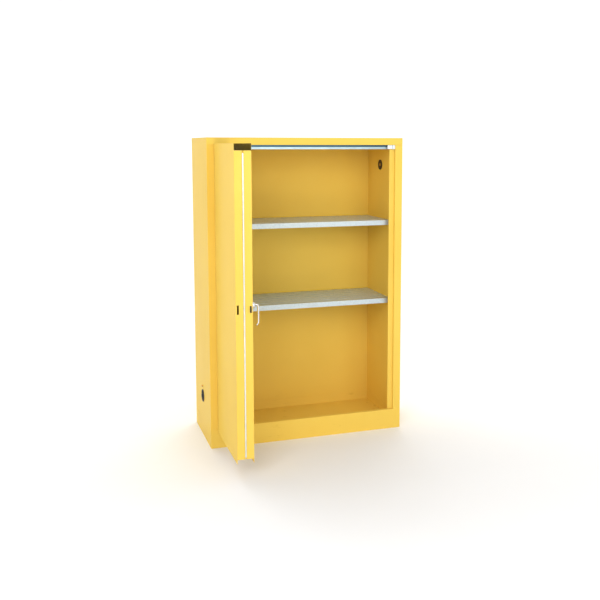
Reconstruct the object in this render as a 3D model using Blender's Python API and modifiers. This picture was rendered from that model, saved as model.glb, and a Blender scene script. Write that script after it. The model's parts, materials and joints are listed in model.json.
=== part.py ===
"""Flammable storage cabinet: double-walled steel body, two shelves and one bi-fold door.

Metres, +Z up. X runs to the right along the front, Y runs back, and the origin is on the floor at the
middle of the body's footprint. Shapes are written in cabinet coordinates (t, s, z): t from the body's
left side, s back from its front face, z up from the floor, with the door shut. The door is then stored
folded open at the left jamb.
"""

import math

import bmesh
import bpy
from mathutils import Matrix, Vector

# ---- body ----
WIDTH, DEPTH, HEIGHT = 1.092, 0.457, 1.651
SHEET = 0.0012          # steel sheet
AIR = 0.038             # insulating space between the two walls
GAP = 0.0003            # between touching pieces
WALL = 2 * SHEET + AIR  # outer face to inner face
BEND = 0.0016           # outside radius of a bend
MARGIN = 0.001          # a cutter's reach past the surface that it cuts
THROUGH = 0.02          # length of a cutter that goes right through a sheet

# ---- front frame ----
POST = 0.043            # face of a post
REVEAL = 0.013          # from the front face back to the stop flange
STOP = 0.029            # width of the stop flange
STOP_RETURN = 0.008
HEADER = 0.038          # face of the header
HEADER_SHELF = 0.021
HEADER_RETURN = 0.020
SILL = 0.111            # height of the sill
SILL_LEDGE = 0.025
INNER_FRONT = 0.027     # where the inner walls begin
SUMP_FLOOR = 0.050
SUMP_TOP = 0.103
INNER_BOTTOM = SUMP_FLOOR + 0.0015
OPEN_LEFT, OPEN_RIGHT = POST, WIDTH - POST
OPEN_TOP = HEIGHT - HEADER

# ---- door ----
PIN_DEPTH = 0.007       # jamb pin and roller, behind the front face
JAMB_PIN = Vector((OPEN_LEFT + 0.0035, PIN_DEPTH, 0))
LEAF_REACH = 0.497      # jamb pin to fold pin, along the door
FOLD_PIN = Vector((JAMB_PIN.x + LEAF_REACH, 0.0385, 0))
ROLLER_PIN = Vector((FOLD_PIN.x + LEAF_REACH, PIN_DEPTH, 0))
SKIN_FACE = -0.003      # outer face of the door skins
LEAF_BACK = 0.0368      # inner face of the door pans
REBATE_DEPTH = 0.0112   # back of the thin edge that shuts on the stop flange
SKIN_LEFT = JAMB_PIN.x + 0.0082
SKIN_RIGHT = ROLLER_PIN.x + 0.0055
SKIN_RIGHT_CORNER = ROLLER_PIN.x - 0.008
SKIN_BOTTOM, SKIN_TOP = 0.092, 1.620
LEAF_BOTTOM, LEAF_TOP = 0.114, 1.5875
FOLD_GAP = 0.00075      # from the fold pin's plane to each leaf
PAN_INSET = 0.032       # pan edge, inside the opening's side
SKIN_LAP = 0.002        # where the skin's face widens above and below the pan
OPEN_ANGLE = math.radians(90)

# ---- track and roller ----
TRACK_BOTTOM = 1.5902
TRACK_HALF = 0.0057
TRACK_LIP = 0.0028
TRACK_INSET = 0.002             # from each post
TRACK_CUT = (0.852, 1.000)      # where the front wall is cut away to load the roller
TRACK_EDGE = 0.0016             # front wall left above and below the cut
BUFFER, BUFFER_SHEET = (1.003, 1.032), 0.0021
END_PLATE, END_PLATE_SHEET = (1.0345, OPEN_RIGHT - 0.0015), 0.0015
ROLLER_RADIUS, ROLLER_LOW, ROLLER_HIGH = 0.0042, 1.596, 1.606
ROLLER_BORE, ROLLER_AXLE, ROLLER_COLLAR, COLLAR_HEIGHT = 0.00205, 0.002, 0.0032, 0.0012
AXLE_HEAD = 0.002
BRACKET = (-0.0065, 0.0037, 0.016)      # left and right of the roller pin, and height

# ---- hinges ----
JAMB_BARREL, FOLD_BARREL = 0.003, 0.004
JAMB_ROD, FOLD_ROD = 0.0013, 0.0020
HINGE_PLATE = 0.001
HINGE_CLEAR = 0.0004    # from a barrel to the other leaf's sheet
HINGE_FLANGE = 0.030
PIN_END = 0.002         # pin past the outer knuckles
HINGE_LOW, HINGE_HIGH = 0.125, 1.574
KNUCKLES = 9

# ---- latch and handle ----
HANDLE_T = FOLD_PIN.x + 0.085
HANDLE_Z = 0.848
BOLT_Z, BOLT_S = 0.843, 0.008
SPINDLE_HOLE = 0.0056
CASE_LEFT, CASE_RIGHT = FOLD_PIN.x + 0.045, FOLD_PIN.x + 0.118
CASE_BACK, CASE_BELOW, CASE_ABOVE = 0.020, 0.033, 0.023
BOLT_SIZE = (0.0060, 0.031)     # thickness and height
BOLT_TIP = FOLD_PIN.x - 0.008
BOLT_TAIL = FOLD_PIN.x + 0.058
STRIKE_SIZE = (0.0092, 0.045)
STRIKE_PLATE = (0.0015, 0.020, 0.040)   # thickness, depth and half its height
ROSE, ROSE_HEIGHT = 0.019, 0.028
LEVER, LEVER_REACH, LEVER_DROP, LEVER_BEND = 0.005, 0.046, 0.090, 0.011
LEVER_TIP = (0.011, 0.014)

# ---- shelves ----
SHELVES = {"upper": 1.193, "lower": 0.748}
SHELF_FRONT, SHELF_BACK, SHELF_LIP = 0.050, 0.410, 0.027
SHELF_END = 0.0025      # from each inner wall
RIB_WIDTH, RIB_HEIGHT, RIBS = 0.016, 0.004, 5
CLIPS = {"front": 0.075, "back": 0.370}
CLIP_WIDTH, CLIP_DROP, CLIP_REACH, CLIP_SHEET = 0.020, 0.020, 0.014, 0.0015

# ---- vents, earthing stud and feet ----
VENTS = {"left": (0.0, 1, 0.229), "right": (WIDTH, -1, 1.500)}  # side, direction inwards, height
VENT_S = 0.222
VENT_HOLE, VENT_TUBE, VENT_CAP, VENT_FLANGE, VENT_EYE = 0.0262, 0.0255, 0.0345, 0.029, 0.009
VENT_WALL = 0.0015
CAP_PLUG = VENT_TUBE - 0.0020
ARRESTER, ARRESTER_SHEET, ARRESTER_DEPTH = VENT_TUBE - 0.0018, 0.004, 0.008
EARTH_Z = 0.284
FEET = {"front": 0.075, "back": 0.385}
FOOT_SIDES = {"left": 0.085, "right": WIDTH - 0.085}
FOOT_PAD, FOOT_STUD, FOOT_HOLE, FOOT_HEIGHT = 0.017, 0.005, 0.0056, 0.036
FOOT_CLEAR = 0.002
BAR_HALF, BAR_SHEET, BAR_INSET = 0.030, 0.0027, 0.030

ROUND = 24              # sides of a round piece


def clear_scene():
    for obj in list(bpy.data.objects):
        bpy.data.objects.remove(obj, do_unlink=True)


def collection(name):
    found = bpy.data.collections.new(name)
    bpy.context.scene.collection.children.link(found)
    return found


def material(name, colour, roughness, metallic=0.0):
    made = bpy.data.materials.new(name)
    made.use_nodes = True
    shader = made.node_tree.nodes["Principled BSDF"]
    shader.inputs["Base Color"].default_value = (*colour, 1.0)
    shader.inputs["Roughness"].default_value = roughness
    shader.inputs["Metallic"].default_value = metallic
    return made


clear_scene()
PARTS = collection("flammable_storage_cabinet")
CUTTERS = collection("cutters")

YELLOW = material("yellow_paint", (0.92, 0.68, 0.13), 0.35)
ZINC = material("zinc_plate", (0.55, 0.62, 0.64), 0.35, 1.0)
GALVANISED = material("galvanised", (0.62, 0.70, 0.72), 0.4, 1.0)
CHROME = material("chrome", (0.85, 0.86, 0.87), 0.12, 1.0)
BLACK = material("black_plastic", (0.01, 0.01, 0.01), 0.45)
NYLON = material("white_nylon", (0.9, 0.9, 0.86), 0.4)
BRASS = material("brass", (0.75, 0.55, 0.2), 0.35, 1.0)


class Frame:
    """An empty on a joint's axis, and where that axis is when the door is shut."""

    def __init__(self, name, origin, parent=None, turn=0.0):
        self.origin = Vector(origin)
        self.empty = bpy.data.objects.new(name, None)
        self.empty.empty_display_size = 0.05
        PARTS.objects.link(self.empty)
        self.empty.rotation_euler.z = turn
        if parent:
            self.empty.parent = parent.empty
            self.empty.location = self.origin - parent.origin
        else:
            self.empty.location = self.origin - CORNER


CORNER = Vector((WIDTH / 2, DEPTH / 2, 0))
BODY = Frame("body", CORNER)
LEAF_A = Frame("leaf_a", JAMB_PIN, BODY, -OPEN_ANGLE)
LEAF_B = Frame("leaf_b", FOLD_PIN, LEAF_A, 2 * OPEN_ANGLE)
ROLLER = Frame("roller_axis", ROLLER_PIN, LEAF_B)
HANDLE = Frame("handle_axis", (HANDLE_T, SKIN_FACE, HANDLE_Z), LEAF_B)
BOLT = Frame("bolt_axis", (BOLT_TIP, BOLT_S, BOLT_Z), LEAF_B)


def put(name, bm, frame, look, target=None):
    """Turns a bmesh in cabinet coordinates into an object whose origin is its frame's."""
    bmesh.ops.translate(bm, verts=bm.verts, vec=-frame.origin)
    mesh = bpy.data.meshes.new(name)
    bm.to_mesh(mesh)
    bm.free()
    obj = bpy.data.objects.new(name, mesh)
    obj.parent = frame.empty
    (target or PARTS).objects.link(obj)
    if look:
        mesh.materials.append(look)
    return obj


def box_mesh(low, high):
    low, high = Vector(low), Vector(high)
    bm = bmesh.new()
    place = Matrix.Translation((low + high) / 2) @ Matrix.Diagonal((*(high - low), 1))
    bmesh.ops.create_cube(bm, size=1, matrix=place)
    return bm


def box(name, low, high, frame, look, target=None):
    return put(name, box_mesh(low, high), frame, look, target)


def rod_mesh(centre, axis, radius, length, sides=ROUND):
    """A solid cylinder centred on a point, along an axis."""
    bm = bmesh.new()
    turn = Vector(axis).to_track_quat("Z", "Y").to_matrix().to_4x4()
    bmesh.ops.create_cone(bm, cap_ends=True, segments=sides, radius1=radius, radius2=radius,
                          depth=length, matrix=Matrix.Translation(centre) @ turn)
    return bm


def rod(name, centre, axis, radius, length, frame, look, target=None, sides=ROUND):
    bm = rod_mesh(centre, axis, radius, length, sides)
    return put(name, bm, frame, look, target)


def cutter(obj):
    obj.hide_render = True
    obj.display_type = "WIRE"
    return obj


def boolean(obj, tool, operation):
    change = obj.modifiers.new(operation.lower(), "BOOLEAN")
    change.operation = operation
    change.solver = "EXACT"
    change.object = cutter(tool)


def cut_box(obj, low, high, frame):
    boolean(obj, box(obj.name + "_cut", low, high, frame, None, CUTTERS), "DIFFERENCE")


def cut_rod(obj, centre, axis, radius, length, frame, sides=ROUND):
    tool = rod(obj.name + "_cut", centre, axis, radius, length, frame, None, CUTTERS, sides)
    boolean(obj, tool, "DIFFERENCE")


def join_box(obj, low, high, frame):
    boolean(obj, box(obj.name + "_add", low, high, frame, None, CUTTERS), "UNION")


def rounded(points, radius=BEND, steps=3):
    """An open outline with each inner corner turned into an arc."""
    points = [Vector(p) for p in points]
    out = [points[0]]
    for before, here, after in zip(points, points[1:], points[2:]):
        a, b = (before - here).normalized(), (after - here).normalized()
        half = a.angle(b) / 2
        reach = radius / math.tan(half)
        centre = here + (a + b).normalized() * radius / math.sin(half)
        first = (here + a * reach - centre).normalized()
        last = (here + b * reach - centre).normalized()
        for i in range(steps + 1):
            out.append(centre + first.slerp(last, i / steps) * radius)
    return out + [points[-1]]


def bent_sheet(name, outline, axis, start, end, frame, look, side=1, thickness=SHEET, radius=BEND):
    """A folded sheet: an outline across the axis, drawn along it, thickened to one side."""
    along = "XYZ".index(axis)
    across = [place for place in range(3) if place != along]
    points = rounded(outline, radius) if radius else [Vector(p) for p in outline]
    bm = bmesh.new()
    verts = []
    for point in points:
        place = [0.0, 0.0, 0.0]
        place[across[0]], place[across[1]], place[along] = point[0], point[1], start
        verts.append(bm.verts.new(place))
    edges = [bm.edges.new(pair) for pair in zip(verts, verts[1:])]
    grown = bmesh.ops.extrude_edge_only(bm, edges=edges)["geom"]
    shift = [0.0, 0.0, 0.0]
    shift[along] = end - start
    moved = [g for g in grown if isinstance(g, bmesh.types.BMVert)]
    bmesh.ops.translate(bm, verts=moved, vec=shift)
    obj = put(name, bm, frame, look)
    solid = obj.modifiers.new("thickness", "SOLIDIFY")
    solid.thickness = thickness
    solid.offset = side
    solid.use_even_offset = True
    return obj


def tray(name, low, high, open_side, frame, look):
    """A box of sheet with one side left open, its sheet inside the given corners."""
    bm = box_mesh(low, high)
    away = Vector(open_side)
    lid = max(bm.faces, key=lambda face: face.normal.dot(away))
    bmesh.ops.delete(bm, geom=[lid], context="FACES_ONLY")
    obj = put(name, bm, frame, look)
    solid = obj.modifiers.new("thickness", "SOLIDIFY")
    solid.thickness = SHEET
    solid.offset = -1
    solid.use_even_offset = True
    return obj


def turned(name, profile, centre, axis, frame, look, closed=False, steps=ROUND):
    """A profile of (radius, height) turned about an axis. It runs down its outer side."""
    bm = bmesh.new()
    verts = [bm.verts.new((r, 0, h)) for r, h in profile]
    for pair in zip(verts, verts[1:]):
        bm.edges.new(pair)
    if closed:
        bm.edges.new((verts[-1], verts[0]))
    mesh = bpy.data.meshes.new(name)
    bm.to_mesh(mesh)
    bm.free()
    mesh.materials.append(look)
    obj = bpy.data.objects.new(name, mesh)
    obj.parent = frame.empty
    obj.location = Vector(centre) - frame.origin
    obj.rotation_mode = "QUATERNION"
    obj.rotation_quaternion = Vector(axis).to_track_quat("Z", "Y")
    PARTS.objects.link(obj)
    screw = obj.modifiers.new("turn", "SCREW")
    screw.axis = "Z"
    screw.steps = steps
    screw.render_steps = steps
    screw.use_merge_vertices = True
    screw.merge_threshold = 0.00001
    screw.use_smooth_shade = True
    return obj


def outer_shell():
    skin_start = SHEET + GAP
    inside = WIDTH - skin_start
    for side, (t, inward, z) in VENTS.items():
        near, far = sorted((t, t + inward * SHEET))
        panel = box(f"outer_side_{side}", (near, skin_start, 0), (far, DEPTH, HEIGHT - skin_start),
                    BODY, YELLOW)
        cut_rod(panel, (t, VENT_S, z), (1, 0, 0), VENT_HOLE, THROUGH, BODY)
    box("outer_back", (skin_start, DEPTH - SHEET, 0), (inside, DEPTH, HEIGHT - skin_start),
        BODY, YELLOW)
    box("outer_top", (0, skin_start, HEIGHT - SHEET), (WIDTH, DEPTH, HEIGHT), BODY, YELLOW)
    base = box("outer_bottom", (skin_start, skin_start, 0),
               (inside, DEPTH - skin_start, SHEET), BODY, YELLOW)
    for t in FOOT_SIDES.values():
        for s in FEET.values():
            cut_rod(base, (t, s, 0), (0, 0, 1), FOOT_PAD + FOOT_CLEAR, THROUGH, BODY)


def inner_shell():
    low, high = WALL - SHEET, WALL
    top = HEIGHT - WALL
    back = DEPTH - WALL
    for side, (t, inward, z) in VENTS.items():
        near, far = sorted((t + inward * low, t + inward * high))
        panel = box(f"inner_side_{side}", (near, INNER_FRONT, INNER_BOTTOM),
                    (far, back - GAP, top - GAP), BODY, YELLOW)
        cut_rod(panel, (t + inward * high, VENT_S, z), (1, 0, 0), VENT_HOLE, THROUGH, BODY)
    box("inner_top", (low, INNER_FRONT, top), (WIDTH - low, back - GAP, top + SHEET), BODY, YELLOW)
    box("inner_back", (low, back, INNER_BOTTOM), (WIDTH - low, back + SHEET, top + SHEET),
        BODY, YELLOW)
    tray("sump_tray", (high + GAP, INNER_FRONT, SUMP_FLOOR),
         (WIDTH - high - GAP, back - GAP, SUMP_TOP), (0, 0, 1), BODY, YELLOW)


def front_frame():
    low, high = SILL + GAP, OPEN_TOP - GAP
    left = [(0, 0), (POST, 0), (POST, REVEAL), (POST + STOP, REVEAL),
            (POST + STOP, REVEAL + STOP_RETURN)]
    right = [(WIDTH - t, s) for t, s in left]
    bent_sheet("post_left", left, "Z", low, high, BODY, YELLOW, side=1)
    bent_sheet("post_right", right, "Z", low, high, BODY, YELLOW, side=-1)
    header = [(0, HEIGHT), (0, OPEN_TOP), (HEADER_SHELF, OPEN_TOP), (HEADER_SHELF, OPEN_TOP + HEADER_RETURN)]
    rails = [bent_sheet("header", header, "X", 0, WIDTH, BODY, YELLOW, side=1)]
    sill = [(0, 0), (0, SILL), (SILL_LEDGE, SILL), (SILL_LEDGE, SUMP_FLOOR + 0.003)]
    rails.append(bent_sheet("sill", sill, "X", 0, WIDTH, BODY, YELLOW, side=-1))
    # the rails' faces reach the body's sides, and their folded flanges stop inside the side panels
    for rail in rails:
        for t in (0, WIDTH - SHEET - GAP):
            cut_box(rail, (t - MARGIN, SHEET + GAP / 3, -MARGIN),
                    (t + SHEET + GAP + MARGIN, 2 * SILL_LEDGE, HEIGHT + MARGIN), BODY)


def door_track():
    near, far = PIN_DEPTH - TRACK_HALF, PIN_DEPTH + TRACK_HALF
    top = OPEN_TOP - 2 * GAP
    channel = [(near + TRACK_LIP, TRACK_BOTTOM), (near, TRACK_BOTTOM), (near, top),
               (far, top), (far, TRACK_BOTTOM), (far - TRACK_LIP, TRACK_BOTTOM)]
    start, end = OPEN_LEFT + TRACK_INSET, OPEN_RIGHT - TRACK_INSET
    track = bent_sheet("door_track", channel, "X", start, end, BODY, ZINC, side=-1, radius=0)
    cut_box(track, (TRACK_CUT[0], near - MARGIN, TRACK_BOTTOM + TRACK_EDGE),
            (TRACK_CUT[1], near + 1.5 * SHEET, top - TRACK_EDGE), BODY)
    face = near - GAP
    low, high = TRACK_BOTTOM + MARGIN, top - MARGIN
    buffer = box("track_buffer", (BUFFER[0], face - BUFFER_SHEET, low), (BUFFER[1], face, high),
                 BODY, NYLON)
    corner = buffer.modifiers.new("soft", "BEVEL")
    corner.width = 0.0009
    corner.segments = 2
    box("track_end_plate", (END_PLATE[0], face - END_PLATE_SHEET, low), (END_PLATE[1], face, high),
        BODY, NYLON)


def shelves():
    depth, half = SHELF_BACK - SHELF_FRONT, RIB_WIDTH / 2
    for level, top in SHELVES.items():
        outline = [(SHELF_FRONT, top - SHELF_LIP), (SHELF_FRONT, top)]
        for i in range(RIBS):
            middle = SHELF_FRONT + depth * (i + 1) / (RIBS + 1)
            outline += [(middle - half, top), (middle - half / 2, top - RIB_HEIGHT),
                        (middle + half / 2, top - RIB_HEIGHT), (middle + half, top)]
        outline += [(SHELF_BACK, top), (SHELF_BACK, top - SHELF_LIP)]
        start, end = WALL + SHELF_END, WIDTH - WALL - SHELF_END
        bent_sheet(f"shelf_{level}", outline, "X", start, end, BODY, GALVANISED,
                   side=-1, radius=0)
        shelf_clips(level, top)


def shelf_clips(level, top):
    under = top - RIB_HEIGHT - SHEET - GAP
    for side, wall, inward in (("left", WALL + GAP, 1), ("right", WIDTH - WALL - GAP, -1)):
        for place, s in CLIPS.items():
            outline = [(wall, under - CLIP_DROP), (wall, under),
                       (wall + inward * CLIP_REACH, under)]
            bent_sheet(f"shelf_clip_{level}_{side}_{place}", outline, "Y", s - CLIP_WIDTH / 2,
                       s + CLIP_WIDTH / 2, BODY, ZINC, side=inward, thickness=CLIP_SHEET, radius=0)


def vents():
    for side, (t, inward, z) in VENTS.items():
        inner = WALL + GAP
        tube = inner - 0.0005
        bore = VENT_TUBE - VENT_WALL
        # the tube and its inner flange, as one ring turned about the vent's axis
        ring = [(VENT_TUBE, inner), (VENT_TUBE, 0.002), (bore, 0.002), (bore, tube),
                (VENT_EYE, tube), (VENT_EYE, inner + 0.003), (VENT_FLANGE, inner + 0.003),
                (VENT_FLANGE, inner)]
        axis = (inward, 0, 0)
        turned(f"vent_duct_{side}", ring, (t, VENT_S, z), axis, BODY, BLACK, closed=True)
        rod(f"flame_arrester_{side}", (t + inward * (tube - ARRESTER_DEPTH), VENT_S, z), (1, 0, 0),
            ARRESTER, ARRESTER_SHEET, BODY, BRASS)
        cap = [(0, 0.0085), (0.010, 0.0085), (0.0125, 0.0050), (VENT_CAP - 0.003, 0.0045),
               (VENT_CAP, 0.0025), (VENT_CAP, 0), (CAP_PLUG, 0), (CAP_PLUG, -0.010), (0, -0.010)]
        turned(f"vent_cap_{side}", cap, (t - inward * GAP, VENT_S, z), (-inward, 0, 0), BODY, BLACK)
    stud = [(0, 0.012), (0.0025, 0.012), (0.003, 0.0115), (0.003, 0)]
    turned("earth_stud", stud + [(0, 0)], (-GAP, VENT_S, EARTH_Z), (-1, 0, 0), BODY, BRASS, steps=12)
    nut = [(0.0058, 0.0055), (0.0058, 0.001), (0.0037, 0.001), (0.0037, 0.0055)]
    turned("earth_nut", nut, (-GAP, VENT_S, EARTH_Z), (-1, 0, 0), BODY, BRASS, closed=True, steps=6)


def feet():
    for place, s in FEET.items():
        bottom = SHEET + GAP
        bar = box(f"base_bar_{place}", (BAR_INSET, s - BAR_HALF, bottom),
                  (WIDTH - BAR_INSET, s + BAR_HALF, bottom + BAR_SHEET), BODY, YELLOW)
        for side, t in FOOT_SIDES.items():
            cut_rod(bar, (t, s, 0), (0, 0, 1), FOOT_HOLE, THROUGH, BODY, sides=12)
            foot = [(0, FOOT_HEIGHT), (FOOT_STUD - MARGIN, FOOT_HEIGHT), (FOOT_STUD, FOOT_HEIGHT - MARGIN),
                    (FOOT_STUD, SHEET), (FOOT_PAD, SHEET), (FOOT_PAD, 0), (0, 0)]
            turned(f"levelling_foot_{place}_{side}", foot, (t, s, 0), (0, 0, 1), BODY, ZINC,
                   steps=16)


def hinge_leaf(name, low, high, tab, pin, barrel, bore, frame, first):
    """One leaf of a long hinge: a strip, with a tab and a knuckle at every second place."""
    leaf = box(name, (*low, HINGE_LOW), (*high, HINGE_HIGH), frame, ZINC)
    pitch = (HINGE_HIGH - HINGE_LOW) / KNUCKLES
    for i in range(first, KNUCKLES, 2):
        bottom = HINGE_LOW + pitch * i + GAP
        top = bottom + pitch - 2 * GAP
        join_box(leaf, (*tab[0], bottom), (*tab[1], top), frame)
        knuckle = rod(name + "_knuckle", (*pin.xy, (bottom + top) / 2), (0, 0, 1), barrel,
                      top - bottom, frame, None, CUTTERS, 16)
        boolean(leaf, knuckle, "UNION")
    middle = (HINGE_LOW + HINGE_HIGH) / 2
    cut_rod(leaf, (*pin.xy, middle), (0, 0, 1), bore, HEIGHT, frame, 16)


def hinge_pin(name, pin, radius, frame):
    middle = (HINGE_LOW + HINGE_HIGH) / 2
    length = HINGE_HIGH - HINGE_LOW + 2 * PIN_END
    rod(name, (*pin.xy, middle), (0, 0, 1), radius, length, frame, ZINC, sides=16)


def jamb_hinge():
    x, y = JAMB_PIN.xy
    wall = OPEN_LEFT + GAP
    bore = JAMB_ROD + GAP
    hinge_leaf("jamb_hinge_post_leaf", (wall, y + 0.0023), (wall + HINGE_PLATE, REVEAL - MARGIN),
               ((wall, y), (wall + 0.0013, y + 0.003)), JAMB_PIN, JAMB_BARREL, bore, BODY, 0)
    edge, half = SKIN_LEFT - GAP, HINGE_PLATE / 2
    hinge_leaf("jamb_hinge_door_leaf", (x + JAMB_BARREL + HINGE_CLEAR, y - half), (edge, y + half),
               ((x + JAMB_BARREL - 0.0008, y - half), (x + JAMB_BARREL + MARGIN, y + half)),
               JAMB_PIN, JAMB_BARREL, bore, LEAF_A, 1)
    hinge_pin("jamb_hinge_pin", JAMB_PIN, JAMB_ROD, BODY)


def fold_hinge():
    x = FOLD_PIN.x
    bore = FOLD_ROD + GAP
    low, high = LEAF_BACK + GAP, LEAF_BACK + GAP + HINGE_PLATE
    far, near, tab = HINGE_FLANGE, FOLD_BARREL + HINGE_CLEAR, FOLD_BARREL - MARGIN
    hinge_leaf("fold_hinge_leaf_a", (x - far, low), (x - near, high),
               ((x - near - MARGIN, low), (x - tab, high)), FOLD_PIN, FOLD_BARREL, bore, LEAF_A, 0)
    hinge_leaf("fold_hinge_leaf_b", (x + near, low), (x + far, high),
               ((x + tab, low), (x + near + MARGIN, high)), FOLD_PIN, FOLD_BARREL, bore, LEAF_B, 1)
    hinge_pin("fold_hinge_pin", FOLD_PIN, FOLD_ROD, LEAF_A)


def door_leaf(letter, frame, outline, side, face, pan, bolt_hole):
    """A leaf: the outer skin with its folded edges, and the inner pan behind it."""
    skin = bent_sheet(f"leaf_{letter}_skin", outline, "Z", LEAF_BOTTOM, LEAF_TOP, frame, YELLOW,
                      side=side)
    for low, high in ((SKIN_BOTTOM, LEAF_BOTTOM + SKIN_LAP), (LEAF_TOP - SKIN_LAP, SKIN_TOP)):
        join_box(skin, (face[0], SKIN_FACE, low), (face[1], SKIN_FACE + SHEET, high), frame)
    inner = tray(f"leaf_{letter}_pan", (pan[0], SKIN_FACE + SHEET + GAP, LEAF_BOTTOM),
                 (pan[1], LEAF_BACK, LEAF_TOP), (0, -1, 0), frame, YELLOW)
    half = Vector((THROUGH / 2, bolt_hole[0] / 2, bolt_hole[1] / 2))
    middle = Vector((FOLD_PIN.x, BOLT_S, BOLT_Z))
    for part in (skin, inner):
        cut_box(part, middle - half, middle + half, frame)
    return skin, inner


def door_leaves():
    lip = REBATE_DEPTH
    fold_a, fold_b = FOLD_PIN.x - FOLD_GAP, FOLD_PIN.x + FOLD_GAP
    fold_back = FOLD_PIN.y - FOLD_BARREL - 0.0005
    pan_side = FOLD_BARREL + HINGE_CLEAR
    left_pan, right_pan = OPEN_LEFT + PAN_INSET, OPEN_RIGHT - PAN_INSET
    outline_a = [(left_pan - GAP, lip), (SKIN_LEFT, lip), (SKIN_LEFT, SKIN_FACE),
                 (fold_a, SKIN_FACE), (fold_a, fold_back)]
    door_leaf("a", LEAF_A, outline_a, 1, (SKIN_LEFT + BEND, fold_a - BEND),
              (left_pan, FOLD_PIN.x - pan_side), STRIKE_SIZE)
    outline_b = [(right_pan + GAP, lip), (SKIN_RIGHT, lip), (SKIN_RIGHT, SKIN_FACE),
                 (fold_b, SKIN_FACE), (fold_b, fold_back)]
    clear = (BOLT_SIZE[0] + MARGIN, BOLT_SIZE[1] + 2 * MARGIN)
    skin, _ = door_leaf("b", LEAF_B, outline_b, -1, (fold_b + BEND, SKIN_RIGHT_CORNER),
                        (FOLD_PIN.x + pan_side, right_pan), clear)
    cut_rod(skin, (HANDLE_T, SKIN_FACE, HANDLE_Z), (0, 1, 0), SPINDLE_HOLE, THROUGH, LEAF_B)


def roller():
    x, y = ROLLER_PIN.xy
    left, right, height = BRACKET
    bracket = box("roller_bracket", (x + left, SKIN_FACE + SHEET + GAP, LEAF_TOP - height),
                  (x + right, REBATE_DEPTH - SHEET - GAP, LEAF_TOP), LEAF_B, ZINC)
    head = ROLLER_HIGH + AXLE_HEAD
    for radius, low, high in ((ROLLER_AXLE, LEAF_TOP - height / 2, head),
                              (ROLLER_COLLAR, ROLLER_LOW - GAP - COLLAR_HEIGHT, ROLLER_LOW - GAP),
                              (ROLLER_COLLAR, ROLLER_HIGH + GAP, head)):
        tool = rod("roller_axle", (x, y, (low + high) / 2), (0, 0, 1), radius, high - low, LEAF_B,
                   None, CUTTERS)
        boolean(bracket, tool, "UNION")
    ring = [(ROLLER_RADIUS, ROLLER_HIGH), (ROLLER_RADIUS, ROLLER_LOW),
            (ROLLER_BORE, ROLLER_LOW), (ROLLER_BORE, ROLLER_HIGH)]
    turned("track_roller", ring, (x, y, 0), (0, 0, 1), ROLLER, NYLON, closed=True)


def latch():
    case = tray("latch_case", (CASE_LEFT, SKIN_FACE + SHEET + GAP, HANDLE_Z - CASE_BELOW),
                (CASE_RIGHT, CASE_BACK, HANDLE_Z + CASE_ABOVE), (-1, 0, 0), LEAF_B, ZINC)
    cut_rod(case, (HANDLE_T, SKIN_FACE, HANDLE_Z), (0, 1, 0), SPINDLE_HOLE, THROUGH, LEAF_B)
    half = Vector((0, BOLT_SIZE[0] / 2, BOLT_SIZE[1] / 2))
    bolt = box("latch_bolt", Vector((BOLT_TIP, BOLT_S, BOLT_Z)) - half,
               Vector((BOLT_TAIL, BOLT_S, BOLT_Z)) + half, BOLT, BLACK)
    edge = bolt.modifiers.new("edge", "BEVEL")
    edge.width = 0.0008
    edge.segments = 1
    plate_at = FOLD_PIN.x - FOLD_BARREL - HINGE_CLEAR - SHEET - GAP
    thick, deep, tall = STRIKE_PLATE
    strike = box("latch_strike", (plate_at - thick, 0, BOLT_Z - tall),
                 (plate_at, deep, BOLT_Z + tall), LEAF_A, ZINC)
    half = Vector((THROUGH / 2, STRIKE_SIZE[0] / 2, STRIKE_SIZE[1] / 2))
    middle = Vector((plate_at, BOLT_S, BOLT_Z))
    cut_box(strike, middle - half, middle + half, LEAF_A)


def handle():
    rose = [(ROSE - 0.0025, ROSE_HEIGHT), (ROSE - MARGIN, ROSE_HEIGHT - 0.0015), (ROSE, 0.004),
            (ROSE, GAP), (SPINDLE_HOLE, GAP), (SPINDLE_HOLE, ROSE_HEIGHT)]
    turned("handle_rose", rose, (HANDLE_T, SKIN_FACE, HANDLE_Z), (0, -1, 0), LEAF_B, CHROME,
           closed=True)
    reach, drop = SKIN_FACE - LEVER_REACH, HANDLE_Z - LEVER_DROP
    path = rounded([(CASE_BACK - 0.002, HANDLE_Z), (reach, HANDLE_Z), (reach, drop),
                    (reach + LEVER_TIP[0], drop - LEVER_TIP[1])], LEVER_BEND, 5)
    curve = bpy.data.curves.new("handle_lever", "CURVE")
    curve.dimensions = "3D"
    curve.bevel_depth = LEVER
    curve.bevel_resolution = 2
    curve.use_fill_caps = True
    spline = curve.splines.new("POLY")
    spline.points.add(len(path) - 1)
    for point, (s, z) in zip(spline.points, path):
        place = Vector((HANDLE_T, s, z)) - HANDLE.origin
        point.co = (*place, 1)
    lever = bpy.data.objects.new("handle_lever", curve)
    curve.materials.append(CHROME)
    lever.parent = HANDLE.empty
    PARTS.objects.link(lever)


def smooth_round_pieces():
    for obj in PARTS.objects:
        if obj.type == "MESH":
            obj.data.shade_smooth()
            obj.data.set_sharp_from_angle(angle=math.radians(35))


outer_shell()
inner_shell()
front_frame()
door_track()
shelves()
vents()
feet()
jamb_hinge()
fold_hinge()
door_leaves()
roller()
latch()
handle()
smooth_round_pieces()
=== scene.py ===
import math

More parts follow.
